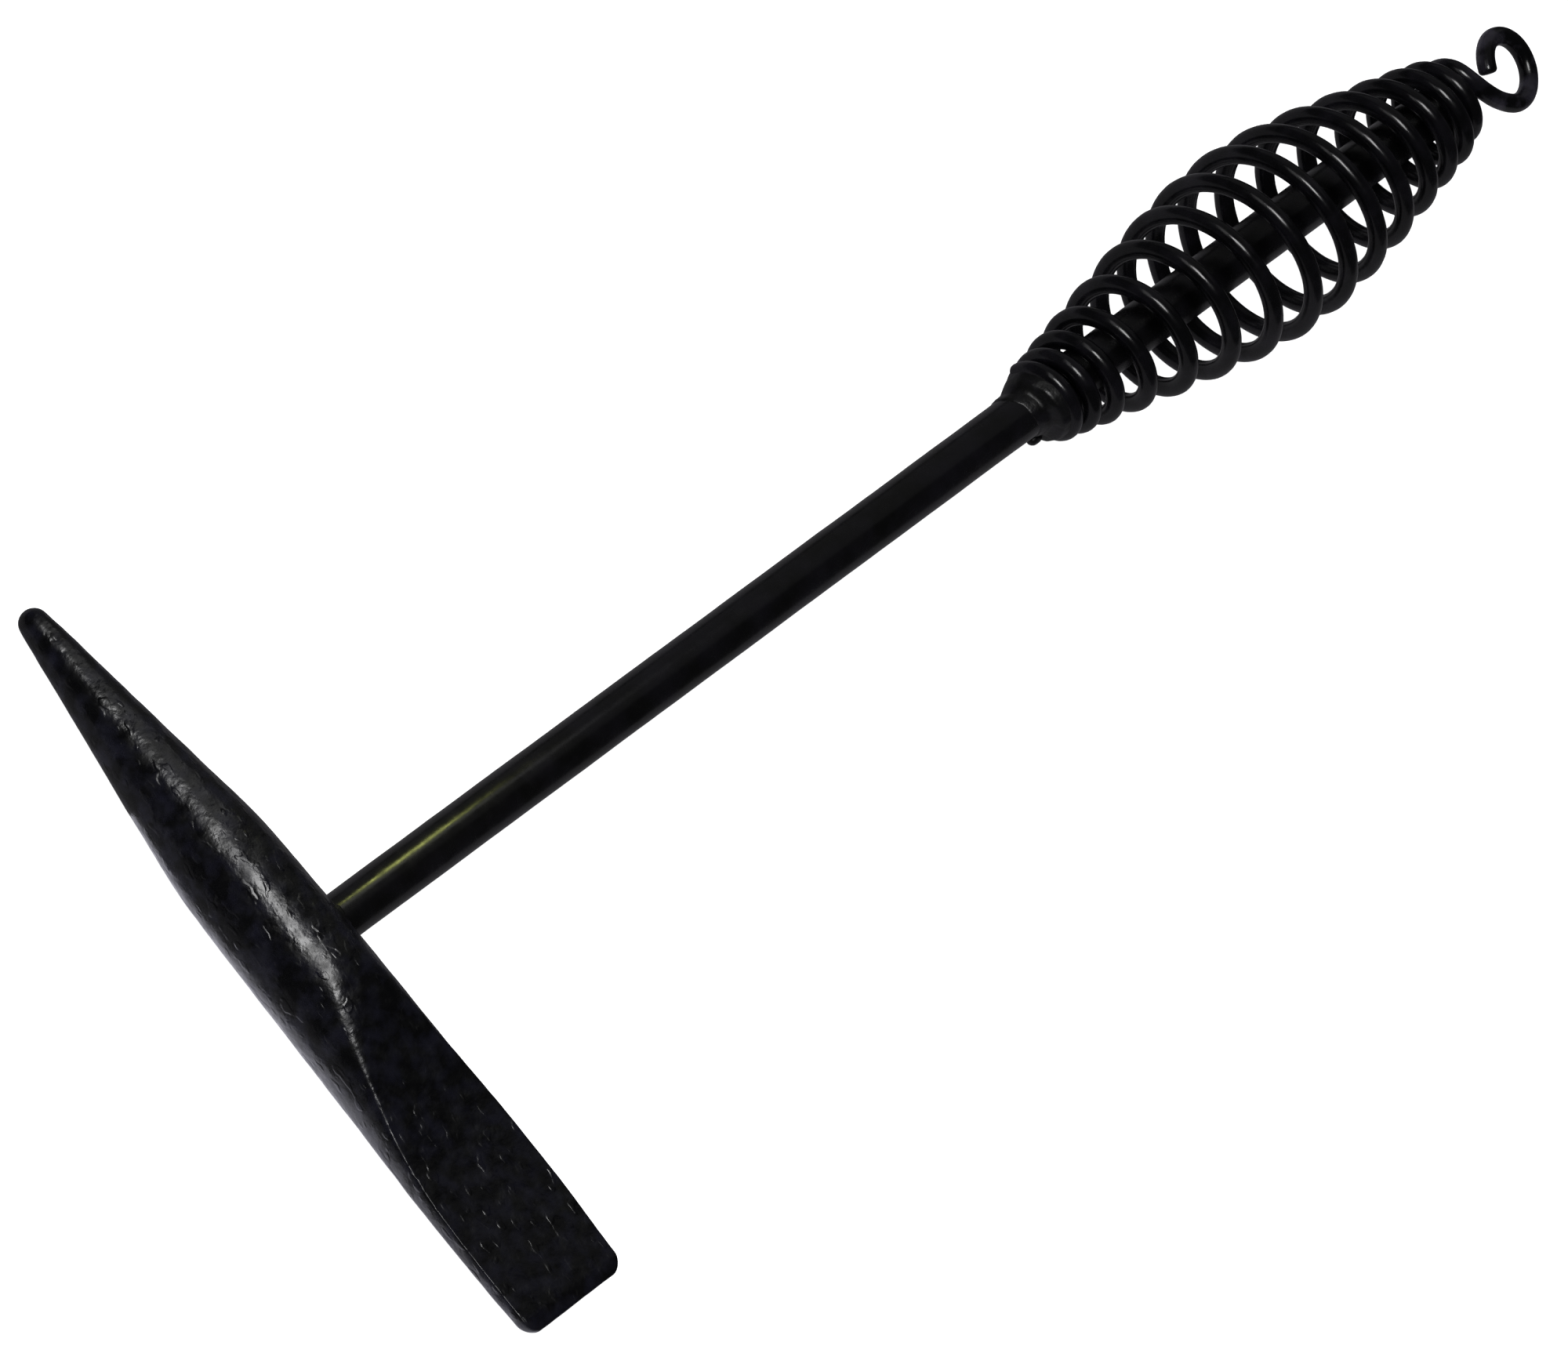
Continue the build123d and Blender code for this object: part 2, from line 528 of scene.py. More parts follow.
def wire_enamel():
    """Sprayed black enamel on spring wire: sharp thin highlights on each turn."""
    finish = settings("finish")
    return black_enamel(
        "black enamel on spring wire",
        finish.wire_tone,
        finish.wire_light,
        patch=4 * MM,
        rough=(0.14, 0.26),
        peel=(0.8 * MM, 0.012 * MM),
        lumps=(3.5 * MM, 0.03 * MM),
        # paler tone painted on the hanging ring: painted light, for a broad light on it
        painted_light=(PAINTED_LIGHT_FROM, PAINTED_LIGHT_TONE),
    )


def weld_enamel():
    """Thick black enamel over weld beads: glossy on the humps, dull in the ripples."""
    finish = settings("finish")
    return black_enamel(
        "black enamel over weld bead",
        finish.weld_tone,
        finish.wire_light,
        patch=3 * MM,
        rough=(0.26, 0.46),
        peel=(0.7 * MM, 0.04 * MM),
        lumps=(1.8 * MM, 0.14 * MM),
    )


BENCH_ROUGHNESS = 0.8
BENCH_GLOW = 1.15


def bench_paint():
    """Matt white laminate: a plain pale ground that glows evenly under the soft light."""
    material = bpy.data.materials.new("matt white laminate")
    material.use_nodes = True
    shader = material.node_tree.nodes["Principled BSDF"]
    tone = linear(settings("finish").floor_tone)
    shader.inputs["Base Color"].default_value = tone
    shader.inputs["Roughness"].default_value = BENCH_ROUGHNESS
    shader.inputs["Emission Color"].default_value = tone
    shader.inputs["Emission Strength"].default_value = BENCH_GLOW
    return material


def glowing_card(name, colour, strength):
    """Lit paper card: an even pale patch that the enamel mirrors."""
    material = bpy.data.materials.new(name)
    material.use_nodes = True
    tree = material.node_tree
    tree.nodes.clear()
    glow = add_node(tree, "ShaderNodeEmission", strength=strength)
    glow.inputs["Color"].default_value = linear(colour)
    output = add_node(tree, "ShaderNodeOutputMaterial")
    tree.links.new(glow.outputs["Emission"], output.inputs["Surface"])
    return material


# ---------------------------------------------------------------- head

POINT_BASE = 23.2 * MM  # where the straight cone ends
SHOULDER_RADIUS = 85.0 * MM
BODY_HALF_ANGLE = radians(1.2)  # the bar's slight taper towards the point
FLARE_START = -15.0 * MM
FLARE_POINTS = [  # (half width, place along the head)
    (9.67 * MM, -26.0 * MM),
    (10.42 * MM, -33.6 * MM),
    (11.0 * MM, -43.0 * MM),
    (11.12 * MM, -52.0 * MM),
]
BLADE_END = -65.0 * MM
BLADE_END_SLOPE = 0.03  # narrowing of the blade's sides where the corners begin
CORNER_WIDTH = 2.3 * MM
CORNER_RADIUS = 2.9 * MM
SCALLOP_RADIUS = 105.0 * MM
SCALLOP_START = -46.0 * MM
SCALLOP_SWEEP = radians(26.0)
BLADE_TAPER = radians(1.6)
BEVEL_LENGTH = 2.2 * MM
EDGE_HALF_THICKNESS = 0.5 * MM
HEAD_SIDES = 184
EDGE_BLEND = 0.32  # the flats meet the round in a curve this share of the thickness wide
EDGE_BLEND_LIMITS = (1.2 * MM, 2.6 * MM)
HAMMERING_PASSES = 4  # rounds of smoothing, which soften the edges of the flats
HAMMERING_STRENGTH = 0.5
FORGE_WAVE_SIZE = 11 * MM
FORGE_SKIN_SIZE = 2.6 * MM


def arc(centre, radius, start, end, step):
    """Points on an arc from one angle to another, a step apart."""
    count = max(ceil(abs(end - start) * radius / step), 2)
    angles = [start + (end - start) * place / count for place in range(count + 1)]
    return [(centre[0] + radius * cos(a), centre[1] + radius * sin(a)) for a in angles]


def straight(start, end, step):
    """Points on a straight line, a step apart, without its two ends."""
    run, rise = end[0] - start[0], end[1] - start[1]
    count = max(ceil(hypot(run, rise) / step), 2)
    shares = [place / count for place in range(1, count)]
    return [(start[0] + run * share, start[1] + rise * share) for share in shares]


def flared(knots, start_slope, end_slope, step):
    """A smooth curve of half widths through knots, with the slopes given at its ends."""
    slopes = [start_slope]
    for before, after in zip(knots, knots[2:]):
        slopes.append((after[0] - before[0]) / (after[1] - before[1]))
    slopes.append(end_slope)
    points = []
    for (r0, y0), (r1, y1), s0, s1 in zip(knots, knots[1:], slopes, slopes[1:]):
        count = ceil(abs(y1 - y0) / step)
        for place in range(1, count + 1):
            t, reach = place / count, y1 - y0
            rise = r0 * (1 + 2 * t) * (1 - t) ** 2 + r1 * t * t * (3 - 2 * t)
            lean = reach * (s0 * t * (1 - t) ** 2 - s1 * t * t * (1 - t))
            points.append((rise + lean, y0 + reach * t))
    return points


def head_outline(head):
    """Half widths along the head from just under the tip to the chisel's edge."""
    step = head.grain
    slope = head.point_half_angle
    tip = arc((0, head.point_reach - head.tip_radius), head.tip_radius, pi / 2, slope, step)
    cone_top = tip[-1]
    base_radius = cone_top[0] + (cone_top[1] - POINT_BASE) * tan(slope)
    turn_centre = (
        base_radius - SHOULDER_RADIUS * cos(slope),
        POINT_BASE - SHOULDER_RADIUS * sin(slope),
    )
    shoulder = arc(turn_centre, SHOULDER_RADIUS, slope, BODY_HALF_ANGLE, step)
    body_top = shoulder[-1]
    flare_radius = body_top[0] + (body_top[1] - FLARE_START) * tan(BODY_HALF_ANGLE)
    body_end = (flare_radius, FLARE_START)
    blade_end = (head.blade_end_radius, BLADE_END)
    knots = [body_end, *FLARE_POINTS, blade_end]
    flare = flared(knots, -tan(BODY_HALF_ANGLE), BLADE_END_SLOPE, step)
    corner_end = (head.blade_end_radius - CORNER_WIDTH, -head.chisel_reach)
    half_chord = (Vector(corner_end) - Vector(blade_end)) / 2
    depth = sqrt(CORNER_RADIUS**2 - half_chord.length_squared)
    inward = Vector((half_chord.y, -half_chord.x)).normalized()
    middle = Vector(blade_end) + half_chord + inward * depth
    start = atan2(blade_end[1] - middle.y, blade_end[0] - middle.x)
    end = atan2(corner_end[1] - middle.y, corner_end[0] - middle.x)
    corner = arc(middle, CORNER_RADIUS, start, end, step)
    cone = straight(cone_top, (base_radius, POINT_BASE), step)
    body = straight(body_top, body_end, step)
    return tip[1:] + cone + shoulder + body + [body_end] + flare + corner[1:]


def half_thickness(head, y):
    """Half the head's thickness that the forged flats leave, at a place along it."""
    bevel_end = -head.chisel_reach + BEVEL_LENGTH
    bevel_top = head.blade_half_thickness - (SCALLOP_START - bevel_end) * tan(BLADE_TAPER)
    if y < bevel_end:
        share = (y + head.chisel_reach) / BEVEL_LENGTH
        return EDGE_HALF_THICKNESS + (bevel_top - EDGE_HALF_THICKNESS) * share
    if y < SCALLOP_START:
        return head.blade_half_thickness - (SCALLOP_START - y) * tan(BLADE_TAPER)
    centre_y = SCALLOP_START - SCALLOP_RADIUS * sin(BLADE_TAPER)
    centre_z = head.blade_half_thickness + SCALLOP_RADIUS * cos(BLADE_TAPER)
    if y > centre_y + SCALLOP_RADIUS * sin(BLADE_TAPER + SCALLOP_SWEEP):
        return SCALLOP_RADIUS
    return centre_z - sqrt(SCALLOP_RADIUS**2 - (y - centre_y) ** 2)


def head_mesh(head):
    """The head as a turned bar whose chisel end is pressed flat, closed along its edge."""
    points = []
    outline = head_outline(head)
    for radius, y in outline:
        limit = half_thickness(head, y)
        blend = min(max(limit * EDGE_BLEND, EDGE_BLEND_LIMITS[0]), EDGE_BLEND_LIMITS[1])
        for side in range(HEAD_SIDES):
            angle = 2 * pi * (side + 0.5) / HEAD_SIDES
            height = radius * sin(angle)
            pressed = soft_min(abs(height), limit, blend)
            points.append(Vector((radius * cos(angle), y, pressed if height > 0 else -pressed)))
    tip_pole = len(points)
    faces = rings_to_faces(len(outline), HEAD_SIDES, first_pole=tip_pole)
    points.append(Vector((0, head.point_reach, 0)))
    last = (len(outline) - 1) * HEAD_SIDES
    for side in range(HEAD_SIDES // 2 - 1):
        mirror = HEAD_SIDES - 1 - side
        faces.append((last + side, last + side + 1, last + mirror - 1, last + mirror))
    return points, faces


class HAMMER_OT_forge_head(bpy.types.Operator):
    """Forge the head: a point, a round body and a flared chisel"""

    bl_idname = "chipping_hammer.forge_head"
    bl_label = "Forge Head"

    def execute(self, context):
        head = settings("head")
        points, faces = head_mesh(head)
        piece = make_piece("forged_head", points, faces, "head", forging_enamel())
        soften(piece, HAMMERING_PASSES, HAMMERING_STRENGTH)
        roughen(piece, [(FORGE_WAVE_SIZE, head.forge_wave), (FORGE_SKIN_SIZE, head.forge_skin)])
        return {"FINISHED"}


# ---------------------------------------------------------------- rod

ROD_SIDES = 64
ROD_STEP = 0.8 * MM
ROD_CHAMFER = 0.6 * MM
ROD_WAVE_SIZE = 9 * MM
ROD_RIPPLE_SIZE = 2.5 * MM


class HAMMER_OT_draw_rod(bpy.types.Operator):
    """Draw the rod, from the bottom of the head's eye to the last turns of the grip"""

    bl_idname = "chipping_hammer.draw_rod"
    bl_label = "Draw Rod"

    def execute(self, context):
        hammer = settings("whole")
        radius = hammer.rod_diameter / 2
        count = round((ROD_REAR_END - ROD_INNER_END - 2 * ROD_CHAMFER) / ROD_STEP)
        places = [ROD_INNER_END + ROD_CHAMFER + ROD_STEP * step for step in range(count + 1)]
        path = [Vector((x, 0, 0)) for x in [ROD_INNER_END, *places, ROD_REAR_END]]
        radii = [radius - ROD_CHAMFER] + [radius] * len(places) + [radius - ROD_CHAMFER]
        points, faces = tube(path, radii, ROD_SIDES)
        piece = make_piece("drawn_rod", points, faces, "rod", rod_enamel())
        ripple = hammer.rod_wave / 3
        roughen(piece, [(ROD_WAVE_SIZE, hammer.rod_wave), (ROD_RIPPLE_SIZE, ripple)])
        return {"FINISHED"}


# ---------------------------------------------------------------- wound grip

COIL_START = 176.6 * MM  # centre of the wire's front end
COIL_START_ANGLE = radians(3.6)
COIL_TURNS = 15.1
CLOSED_PITCH = 3.8 * MM
OPEN_PITCH = 8.7 * MM
OPENING_TURN = 0.94
OPENING_TURNS = 3.72
CLOSING_TURN = 9.77
CLOSING_TURNS = 5.35
BELLY_POSITION = 232.2 * MM
BELLY_ROUNDING = 13.9 * MM
FRONT_SLOPE = 0.214
REAR_SLOPE = 0.232
COIL_OFFSET = -0.32 * MM  # the coil sits a little to the chisel side of the rod
LAST_TURN = 13.9  # the wire is drawn in from here to meet the ring
LAST_TURN_LENGTH = 0.55
LAST_TURN_DRAW = 0.82 * MM
RING_CENTRE = Vector((290.6, -1.85, 2.95)) * MM
RING_NORMAL = Vector((0.21, -0.30, 0.93))
RING_START = radians(244)
RING_ARC = radians(280)
RING_END_LIFT = 0.6 * MM  # the cut end springs up clear of the lead
RING_END_SHARE = 0.7  # and starts to rise this far round
LEAD_START_PULL = 0.25  # how stiffly the lead leaves the coil, as a share of its span
LEAD_END_PULL = 0.52
STEPS_PER_TURN = 96
LEAD_STEPS = 24
RING_STEPS = 56
WIRE_SIDES = 26
CUT_ROUNDING = 0.7 * MM
CUT_STEPS = 5
CUT_CLEARANCE = 1.2  # the plain wire starts this many roundings from its cut ends
WIRE_WAVE_SIZE = 6 * MM
WIRE_RIPPLE_SIZE = 1.6 * MM


def pitch_at(turn):
    """Advance along X for each turn of the wire: closed, then open, then closed again."""
    opened = smooth_step((turn - OPENING_TURN) / OPENING_TURNS)
    closed = smooth_step((turn - CLOSING_TURN) / CLOSING_TURNS)
    return CLOSED_PITCH + (OPEN_PITCH - CLOSED_PITCH) * (opened - closed)


def coil_radius_at(x, turn, grip, rod_radius):
    """Radius to the wire's centre: two cones that meet in a rounded belly."""
    distance = x - BELLY_POSITION
    slope = FRONT_SLOPE if distance < 0 else REAR_SLOPE
    cone = grip.belly_radius - slope * (hypot(distance, BELLY_ROUNDING) - BELLY_ROUNDING)
    hug_radius = rod_radius + grip.wire_diameter / 2 + abs(COIL_OFFSET)
    drawn_in = LAST_TURN_DRAW * smooth_step((turn - LAST_TURN) / LAST_TURN_LENGTH)
    return max(cone, hug_radius) - drawn_in


def wire_path(grip, rod_radius):
    """The wire's centre line: the coil, the lead out of it, and the hanging ring."""
    path = []
    x = COIL_START
    for step in range(round(COIL_TURNS * STEPS_PER_TURN) + 1):
        turn = step / STEPS_PER_TURN
        angle = COIL_START_ANGLE + 2 * pi * turn
        radius = coil_radius_at(x, turn, grip, rod_radius)
        path.append(Vector((x, COIL_OFFSET + radius * cos(angle), radius * sin(angle))))
        x += pitch_at(turn + 0.5 / STEPS_PER_TURN) / STEPS_PER_TURN
    normal = RING_NORMAL.normalized()
    along = Vector((1, 0, 0))
    along = (along - normal * along.dot(normal)).normalized()
    beside = normal.cross(along)
    ring = []
    for step in range(RING_STEPS + 1):
        share = step / RING_STEPS
        angle = RING_START + RING_ARC * share
        lift = RING_END_LIFT * smooth_step((share - RING_END_SHARE) / (1 - RING_END_SHARE))
        outward = along * cos(angle) + beside * sin(angle)
        ring.append(RING_CENTRE + grip.ring_radius * outward + normal * lift)
    coil_end, ring_start = path[-1], ring[0]
    coil_direction = (path[-1] - path[-2]).normalized()
    ring_direction = (beside * cos(RING_START) - along * sin(RING_START)).normalized()
    span = (ring_start - coil_end).length
    leaving = coil_end + coil_direction * span * LEAD_START_PULL
    arriving = ring_start - ring_direction * span * LEAD_END_PULL
    for step in range(1, LEAD_STEPS):
        t = step / LEAD_STEPS
        path.append(
            coil_end * (1 - t) ** 3
            + leaving * 3 * t * (1 - t) ** 2
            + arriving * 3 * t * t * (1 - t)
            + ring_start * t**3
        )
    return path + ring


def with_round_ends(path, radius, rounding):
    """Path and radii of a wire whose two cut ends are rounded over."""
    edge = []
    for step in range(CUT_STEPS + 1):
        tilt = pi / 2 * step / CUT_STEPS
        edge.append((rounding * (1 - cos(tilt)), radius - rounding * (1 - sin(tilt))))
    first, last = path[0], path[-1]
    inward = (path[1] - first).normalized()
    outward = (path[-2] - last).normalized()
    clear = rounding * CUT_CLEARANCE
    middle = [p for p in path if min((p - first).length, (p - last).length) > clear]
    start = [first + inward * depth for depth, _ in edge]
    end = [last + outward * depth for depth, _ in reversed(edge)]
    rounded = [reach for _, reach in edge]
    return start + middle + end, rounded + [radius] * len(middle) + rounded[::-1]


class HAMMER_OT_wind_grip(bpy.types.Operator):
    """Wind the wire into the grip and bend its rear end into the hanging ring"""

    bl_idname = "chipping_hammer.wind_grip"
    bl_label = "Wind Grip"

    def execute(self, context):
        grip = settings("grip")
        path = wire_path(grip, settings("whole").rod_diameter / 2)
        path, radii = with_round_ends(path, grip.wire_diameter / 2, CUT_ROUNDING)
        points, faces = tube(path, radii, WIRE_SIDES)
        piece = make_piece("wound_grip", points, faces, "grip_spring", wire_enamel())
        ripple = grip.wire_wave / 2
        roughen(piece, [(WIRE_WAVE_SIZE, grip.wire_wave), (WIRE_RIPPLE_SIZE, ripple)])
        return {"FINISHED"}


# ---------------------------------------------------------------- welds

WELD_SIDES = 96
HEAD_BODY_RADIUS = 8.3 * MM  # of the round bar where the rod enters it
HEAD_BEAD_LEG = 1.25 * MM
HEAD_BEAD_LEAN = 0.35  # how much fuller it is on the point side, as a share of its leg
HEAD_BEAD_UNEVENNESS = 0.3
HEAD_BEAD_STEPS = 10
BEAD_SINK = 0.3 * MM  # beads are rooted this far under the surfaces that they join
FRONT_BEAD_STEPS = 22
FRONT_BEAD_SIDE = [  # (share of its length, height over the rod) on the point side
    (0.0, 0.0 * MM),
    (0.06, 0.30 * MM),
    (0.28, 0.42 * MM),
    (0.50, 1.35 * MM),
    (0.76, 2.30 * MM),
    (1.0, 3.05 * MM),
]
FRONT_BEAD_TOP = [  # and everywhere else, where it is stepped
    (0.0, 0.0 * MM),
    (0.06, 0.15 * MM),
    (0.38, 0.50 * MM),
    (0.52, 2.20 * MM),
    (0.76, 2.58 * MM),
    (1.0, 2.88 * MM),
]
FRONT_BEAD_STAGGER = 3.0 * MM  # it starts this much later on the chisel side
FRONT_BEAD_START = 169.6 * MM
FRONT_BEAD_RAGGEDNESS = 0.5 * MM  # of its thin front edge
FRONT_BEAD_UNEVENNESS = 0.12
FRONT_BEAD_EVEN_FROM = 0.9  # its last part hugs the wire and stays even
FRONT_BEAD_OVERLAP = 0.1 * MM  # past the middle of the wire
FRONT_BEAD_CLIMB = 1 / 12  # share of a turn over which it catches up with the wire's pitch
BEAD_LUMPS = (1.5 * MM, 0.08 * MM)  # their size and height
TACK_LUMPS = (1.5 * MM, 0.12 * MM)
TACK_SIDES = 40
FRONT_TACK = Vector((174.2, -4.0, -3.2)) * MM
FRONT_TACK_RADII = Vector((1.4, 1.0, 1.1)) * MM
REAR_TACK_INSET = 0.2 * MM
REAR_TACK_RADII = Vector((2.0, 1.8, 2.0)) * MM


def bead_round_rod(profile, rod_radius):
    """A closed ring of weld round the rod; profile(angle) gives its (x, height over rod) points."""
    points, count = [], 0
    for side in range(WELD_SIDES):
        angle = 2 * pi * side / WELD_SIDES
        outline = profile(angle)
        count = len(outline)
        for x, height in outline:
            reach = rod_radius + height
            points.append(Vector((x, reach * cos(angle), reach * sin(angle))))
    faces = []
    for side in range(WELD_SIDES):
        here, beyond = side * count, (side + 1) % WELD_SIDES * count
        for place in range(count):
            following = (place + 1) % count
            faces.append((here + place, here + following, beyond + following, beyond + place))
    return points, faces


def round_wave(angle, lumps, seed):
    """Smooth noise round a ring, with about so many lumps in a turn."""
    reach = lumps / (2 * pi)
    return wave(Vector((reach * cos(angle), reach * sin(angle), seed)), 1.0)


def head_bead_profile(angle):
    """Hollow fillet between the rod and the round of the head, fuller on the point side."""
    unevenness = HEAD_BEAD_UNEVENNESS * round_wave(angle, lumps=9, seed=0.5)
    fuller = 1.0 + HEAD_BEAD_LEAN * cos(angle) + unevenness
    leg = HEAD_BEAD_LEG * fuller
    rod_radius = settings("whole").rod_diameter / 2
    outline = []
    for step in range(HEAD_BEAD_STEPS + 1):
        share = step / HEAD_BEAD_STEPS
        height = leg * (1 - sin(share * pi / 2))
        across = (rod_radius + height) * sin(angle)
        on_head = sqrt(HEAD_BODY_RADIUS**2 - across**2)
        outline.append((on_head + leg * (1 - cos(share * pi / 2)), height))
    last_x = outline[-1][0]
    return [*outline, (last_x, -BEAD_SINK), (last_x - leg - 3 * BEAD_SINK, -BEAD_SINK)]


def along_curve(knots, share):
    """Height at a share of the way along a line given by its knots."""
    for (s0, h0), (s1, h1) in zip(knots, knots[1:]):
        if share <= s1:
            return h0 + (h1 - h0) * (share - s0) / (s1 - s0)
    return knots[-1][1]


def front_bead_profile(angle):
    """Cone of weld from a thin lip on the rod up to the crest of the first turn."""
    turn_share = (angle - COIL_START_ANGLE) % (2 * pi) / (2 * pi)
    start = FRONT_BEAD_START + FRONT_BEAD_RAGGEDNESS * round_wave(angle, lumps=6, seed=3.0)
    start += FRONT_BEAD_STAGGER * (1 - cos(angle)) / 2
    advance = CLOSED_PITCH * turn_share * smooth_step(turn_share / FRONT_BEAD_CLIMB)
    end = COIL_START + advance + FRONT_BEAD_OVERLAP
    fuller = 1 + FRONT_BEAD_UNEVENNESS * round_wave(angle, lumps=5, seed=7.0)
    outline = []
    for step in range(FRONT_BEAD_STEPS + 1):
        share = step / FRONT_BEAD_STEPS
        beside = along_curve(FRONT_BEAD_SIDE, share)
        height = beside + (along_curve(FRONT_BEAD_TOP, share) - beside) * min(1 - cos(angle), 1)
        height *= fuller if share < FRONT_BEAD_EVEN_FROM else 1.0
        height += COIL_OFFSET * cos(angle) * share
        outline.append((start + (end - start) * share, height))
    return [*outline, (end, -BEAD_SINK), (start, -BEAD_SINK)]


def blob(centre, radii):
    """A rounded tack of weld."""
    rings = TACK_SIDES // 2
    points = []
    for ring in range(1, rings):
        tilt = pi * ring / rings
        for side in range(TACK_SIDES):
            angle = 2 * pi * side / TACK_SIDES
            along = radii[0] * cos(tilt)
            across = radii[1] * sin(tilt) * cos(angle)
            up = radii[2] * sin(tilt) * sin(angle)
            points.append(centre + Vector((along, across, up)))
    first, last = len(points), len(points) + 1
    points += [centre + Vector((radii[0], 0, 0)), centre - Vector((radii[0], 0, 0))]
    return points, rings_to_faces(rings - 1, TACK_SIDES, first, last)


class HAMMER_OT_lay_welds(bpy.types.Operator):
    """Lay the bead at the head, the bead and tack at the front turn, and the rear tack"""

    bl_idname = "chipping_hammer.lay_welds"
    bl_label = "Lay Welds"

    def execute(self, context):
        rod_radius = settings("whole").rod_diameter / 2
        enamel = weld_enamel()
        beads = {
            "head_bead": ("head_weld", head_bead_profile),
            "front_bead": ("front_spring_weld", front_bead_profile),
        }
        for name, (node, profile) in beads.items():
            points, faces = bead_round_rod(profile, rod_radius)
            piece = make_piece(name, points, faces, node, enamel)
            roughen(piece, [BEAD_LUMPS])
        rear_tack = Vector((ROD_REAR_END - REAR_TACK_INSET, COIL_OFFSET, -rod_radius))
        tacks = {
            "front_tack": ("front_tack_weld", FRONT_TACK, FRONT_TACK_RADII),
            "rear_tack": ("rear_spring_weld", rear_tack, REAR_TACK_RADII),
        }
        for name, (node, centre, radii) in tacks.items():
            points, faces = blob(centre, radii)
            piece = make_piece(name, points, faces, node, enamel)
            roughen(piece, [TACK_LUMPS])
        return {"FINISHED"}


# ---------------------------------------------------------------- stage

BENCH_SIZE = 8.0
SENSOR_WIDTH = 36.0
CLIP_END = 100.0
ROOM_TONE = "#F0F0F5"
ROOM_GLOW = 0.03
BENCH_IN_GLOSS_TONE = "#F4F2F8"
BENCH_IN_GLOSS = 0.17  # how bright the bench looks in the enamel
BENCH_IN_GLOSS_REACH = (0.192, 0.155)  # half sizes of the part of it that the enamel mirrors
EDGE_CARD_TONE = "#E9E8F4"
EDGE_CARD_GLOW = 1.25
EDGE_CARD_HEIGHT = 0.1 * MM
EDGE_CARD_CORNERS = [  # from the head box's corner at the chisel: a strip under its front side
    (-7.5 * MM, -8.0 * MM),
    (7.0 * MM, -8.0 * MM),
    (7.0 * MM, 100.0 * MM),
    (3.0 * MM, 100.0 * MM),
    (0.0 * MM, 80.0 * MM),
    (-3.5 * MM, 60.0 * MM),
    (-7.5 * MM, 46.0 * MM),
]
WHITE = "#FFFFFF"
HAMMER_MIDDLE = (0, 0, 0.01)
LIGHTS = [
    {
        "name": "key box",
        "direction": (-0.27, 0.085, 0.96),
        "distance": 1.6,
        "width": 0.61,
        "height": 0.42,
        "radiance": 11.5,
        "colour": WHITE,
        "aim": HAMMER_MIDDLE,
    },
    {
        "name": "side box",
        "direction": (0.62, 0.50, 0.60),
        "distance": 1.8,
        "width": 2.2,
        "height": 2.2,
        "radiance": 0.075,
        "colour": WHITE,
        "aim": HAMMER_MIDDLE,
    },
    {
        "name": "point card",
        "direction": (0.39, 0.0, 0.92),
        "distance": 0.243,
        "width": 0.06,
        "height": 0.21,
        "radiance": 0.8,
        "colour": WHITE,
        "aim": (-0.14, 0.115, 0.012),
    },
    {
        "name": "low lamp",
        "direction": (0.49, 0.60, 0.63),
        "distance": 0.08,
        "width": 0.018,
        "height": 0.010,
        "radiance": 1.0,
        "colour": "#EDF58C",
        "aim": (-0.113, 0.0, 0.012),
        "spread": radians(46),
    },
]


def camera_axes(stage):
    """Directions of the camera's right, up and view."""
    view = Vector(
        (
            sin(stage.azimuth) * cos(stage.elevation),
            cos(stage.azimuth) * cos(stage.elevation),
            -sin(stage.elevation),
        )
    )
    level_right = view.cross(Vector((0, 0, 1))).normalized()
    level_up = level_right.cross(view)
    up = level_up * cos(stage.camera_roll) - level_right * sin(stage.camera_roll)
    return view.cross(up).normalized(), up, view


def add_light(name, direction, distance, width, height, radiance, colour, aim, spread=pi):
    """A soft box that stands in a direction from its aim; radiance is how bright it looks."""
    lamp = bpy.data.lights.new(name, "AREA")
    lamp.shape = "RECTANGLE"
    lamp.size, lamp.size_y = width, height
    lamp.energy = radiance * pi * width * height
    lamp.color = linear(colour)[:3]
    lamp.spread = spread
    box = bpy.data.objects.new(name, lamp)
    direction = Vector(direction).normalized()
    box.location = Vector(aim) + direction * distance
    box.visible_camera = False
    box.rotation_mode = "QUATERNION"
    box.rotation_quaternion = (-direction).to_track_quat("-Z", "Y")
    bpy.context.scene.collection.objects.link(box)


def rectangle(half_x, half_y):
    """Corners of a rectangle round the origin."""
    return [(-half_x, -half_y), (half_x, -half_y), (half_x, half_y), (-half_x, half_y)]


def lay_sheet(name, corners, height, material):
    """A flat sheet on the bench with these corners, in order."""
    mesh = bpy.data.meshes.new(name)
    mesh.from_pydata([(x, y, height) for x, y in corners], [], [tuple(range(len(corners)))])
    mesh.materials.append(material)
    sheet = bpy.data.objects.new(name, mesh)
    bpy.context.scene.collection.objects.link(sheet)
    return sheet


def only_in_gloss(sheet):
    """Hide a sheet from everything but reflections."""
    sheet.visible_camera = False
    sheet.visible_diffuse = False
    sheet.visible_shadow = False
    sheet.visible_transmission = False


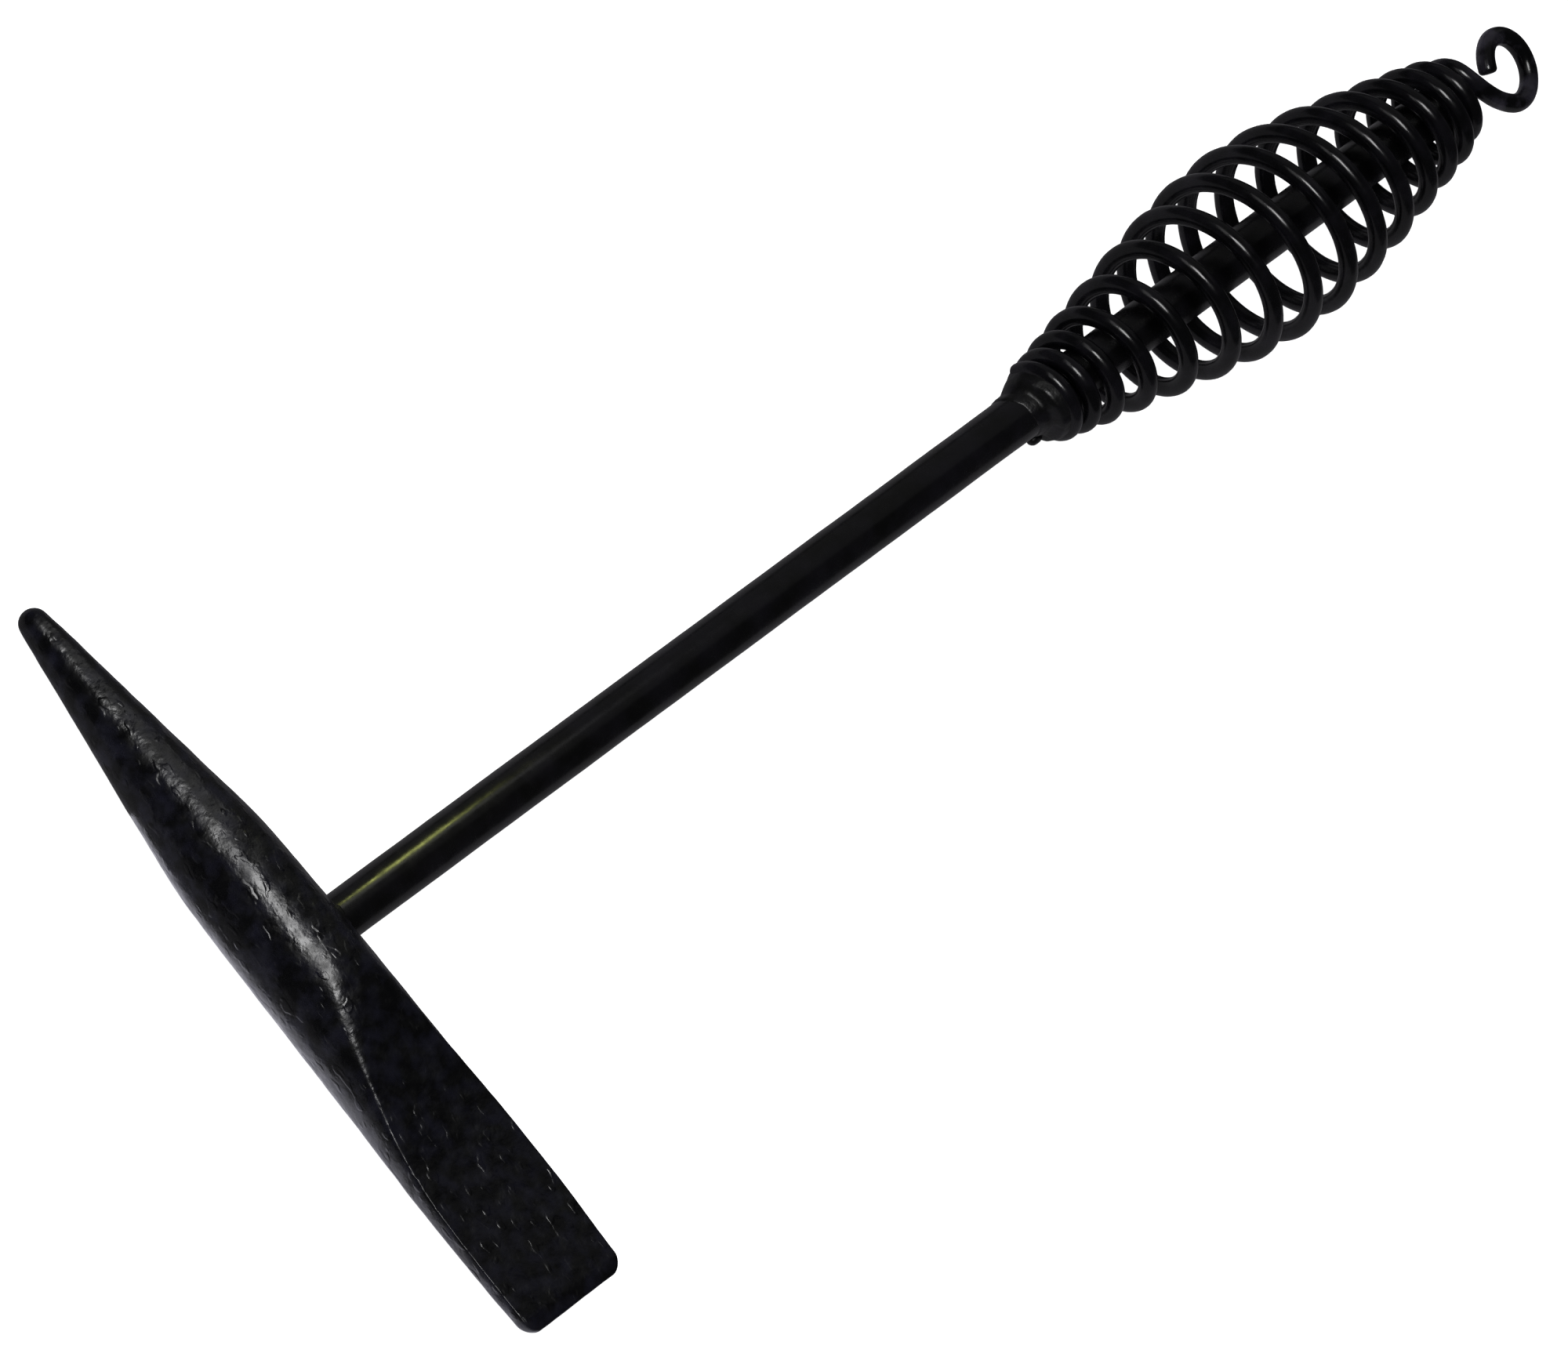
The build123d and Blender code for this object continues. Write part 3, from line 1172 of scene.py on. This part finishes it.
class HAMMER_OT_set_stage(bpy.types.Operator):
    """Set the bench, the camera and the soft studio lights"""

    bl_idname = "chipping_hammer.set_stage"
    bl_label = "Set Stage"

    def execute(self, context):
        stage = settings("stage")
        scene = context.scene
        bench = lay_sheet("bench", rectangle(BENCH_SIZE / 2, BENCH_SIZE / 2), 0.0, bench_paint())
        bench.visible_glossy = False
        mirrored = glowing_card("bench in the gloss", BENCH_IN_GLOSS_TONE, BENCH_IN_GLOSS)
        only_in_gloss(lay_sheet("bench_glow", rectangle(*BENCH_IN_GLOSS_REACH), 0.0, mirrored))
        low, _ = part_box("head")
        corners = [(low.x + x, low.y + y) for x, y in EDGE_CARD_CORNERS]
        card = glowing_card("card for the blade", EDGE_CARD_TONE, EDGE_CARD_GLOW)
        only_in_gloss(lay_sheet("edge_card", corners, EDGE_CARD_HEIGHT, card))

        right, up, view = camera_axes(stage)
        lens = bpy.data.cameras.new("camera")
        lens.lens = stage.lens
        lens.sensor_width = SENSOR_WIDTH
        lens.clip_end = CLIP_END
        camera = bpy.data.objects.new("camera", lens)
        camera.matrix_world = Matrix.Translation(
            Vector(stage.aim) - view * stage.distance
        ) @ Matrix((right, up, -view)).transposed().to_4x4()
        scene.collection.objects.link(camera)
        scene.camera = camera

        world = bpy.data.worlds.new("soft room")
        world.use_nodes = True
        backdrop = world.node_tree.nodes["Background"]
        backdrop.inputs["Color"].default_value = linear(ROOM_TONE)
        backdrop.inputs["Strength"].default_value = ROOM_GLOW
        scene.world = world
        scene.view_settings.view_transform = "Standard"

        for light in LIGHTS:
            add_light(**light)
        return {"FINISHED"}


# ---------------------------------------------------------------- panel


class VIEW3D_PT_chipping_hammer(bpy.types.Panel):
    """Builds the hammer piece by piece"""

    bl_idname = "VIEW3D_PT_chipping_hammer"
    bl_label = "Chipping Hammer"
    bl_space_type = "VIEW_3D"
    bl_region_type = "UI"
    bl_category = "Chipping Hammer"

    def draw(self, context):
        for operator in OPERATORS:
            self.layout.operator(operator.bl_idname)


OPERATORS = [
    HAMMER_OT_forge_head,
    HAMMER_OT_draw_rod,
    HAMMER_OT_wind_grip,
    HAMMER_OT_lay_welds,
    HAMMER_OT_set_stage,
]
SETTINGS = {
    "whole": HammerSettings,
    "head": HeadSettings,
    "grip": GripSettings,
    "finish": FinishSettings,
    "stage": StageSettings,
}


def register():
    for group in [*SETTINGS.values(), *OPERATORS, VIEW3D_PT_chipping_hammer]:
        bpy.utils.register_class(group)
    for part, group in SETTINGS.items():
        setattr(bpy.types.Scene, "hammer_" + part, PointerProperty(type=group))


def unregister():
    for part in SETTINGS:
        delattr(bpy.types.Scene, "hammer_" + part)
    for group in reversed([*SETTINGS.values(), *OPERATORS, VIEW3D_PT_chipping_hammer]):
        bpy.utils.unregister_class(group)


def main():
    register()
    bpy.ops.chipping_hammer.forge_head()
    bpy.ops.chipping_hammer.draw_rod()
    bpy.ops.chipping_hammer.wind_grip()
    bpy.ops.chipping_hammer.lay_welds()
    bpy.ops.chipping_hammer.set_stage()


if __name__ == "__main__":
    main()
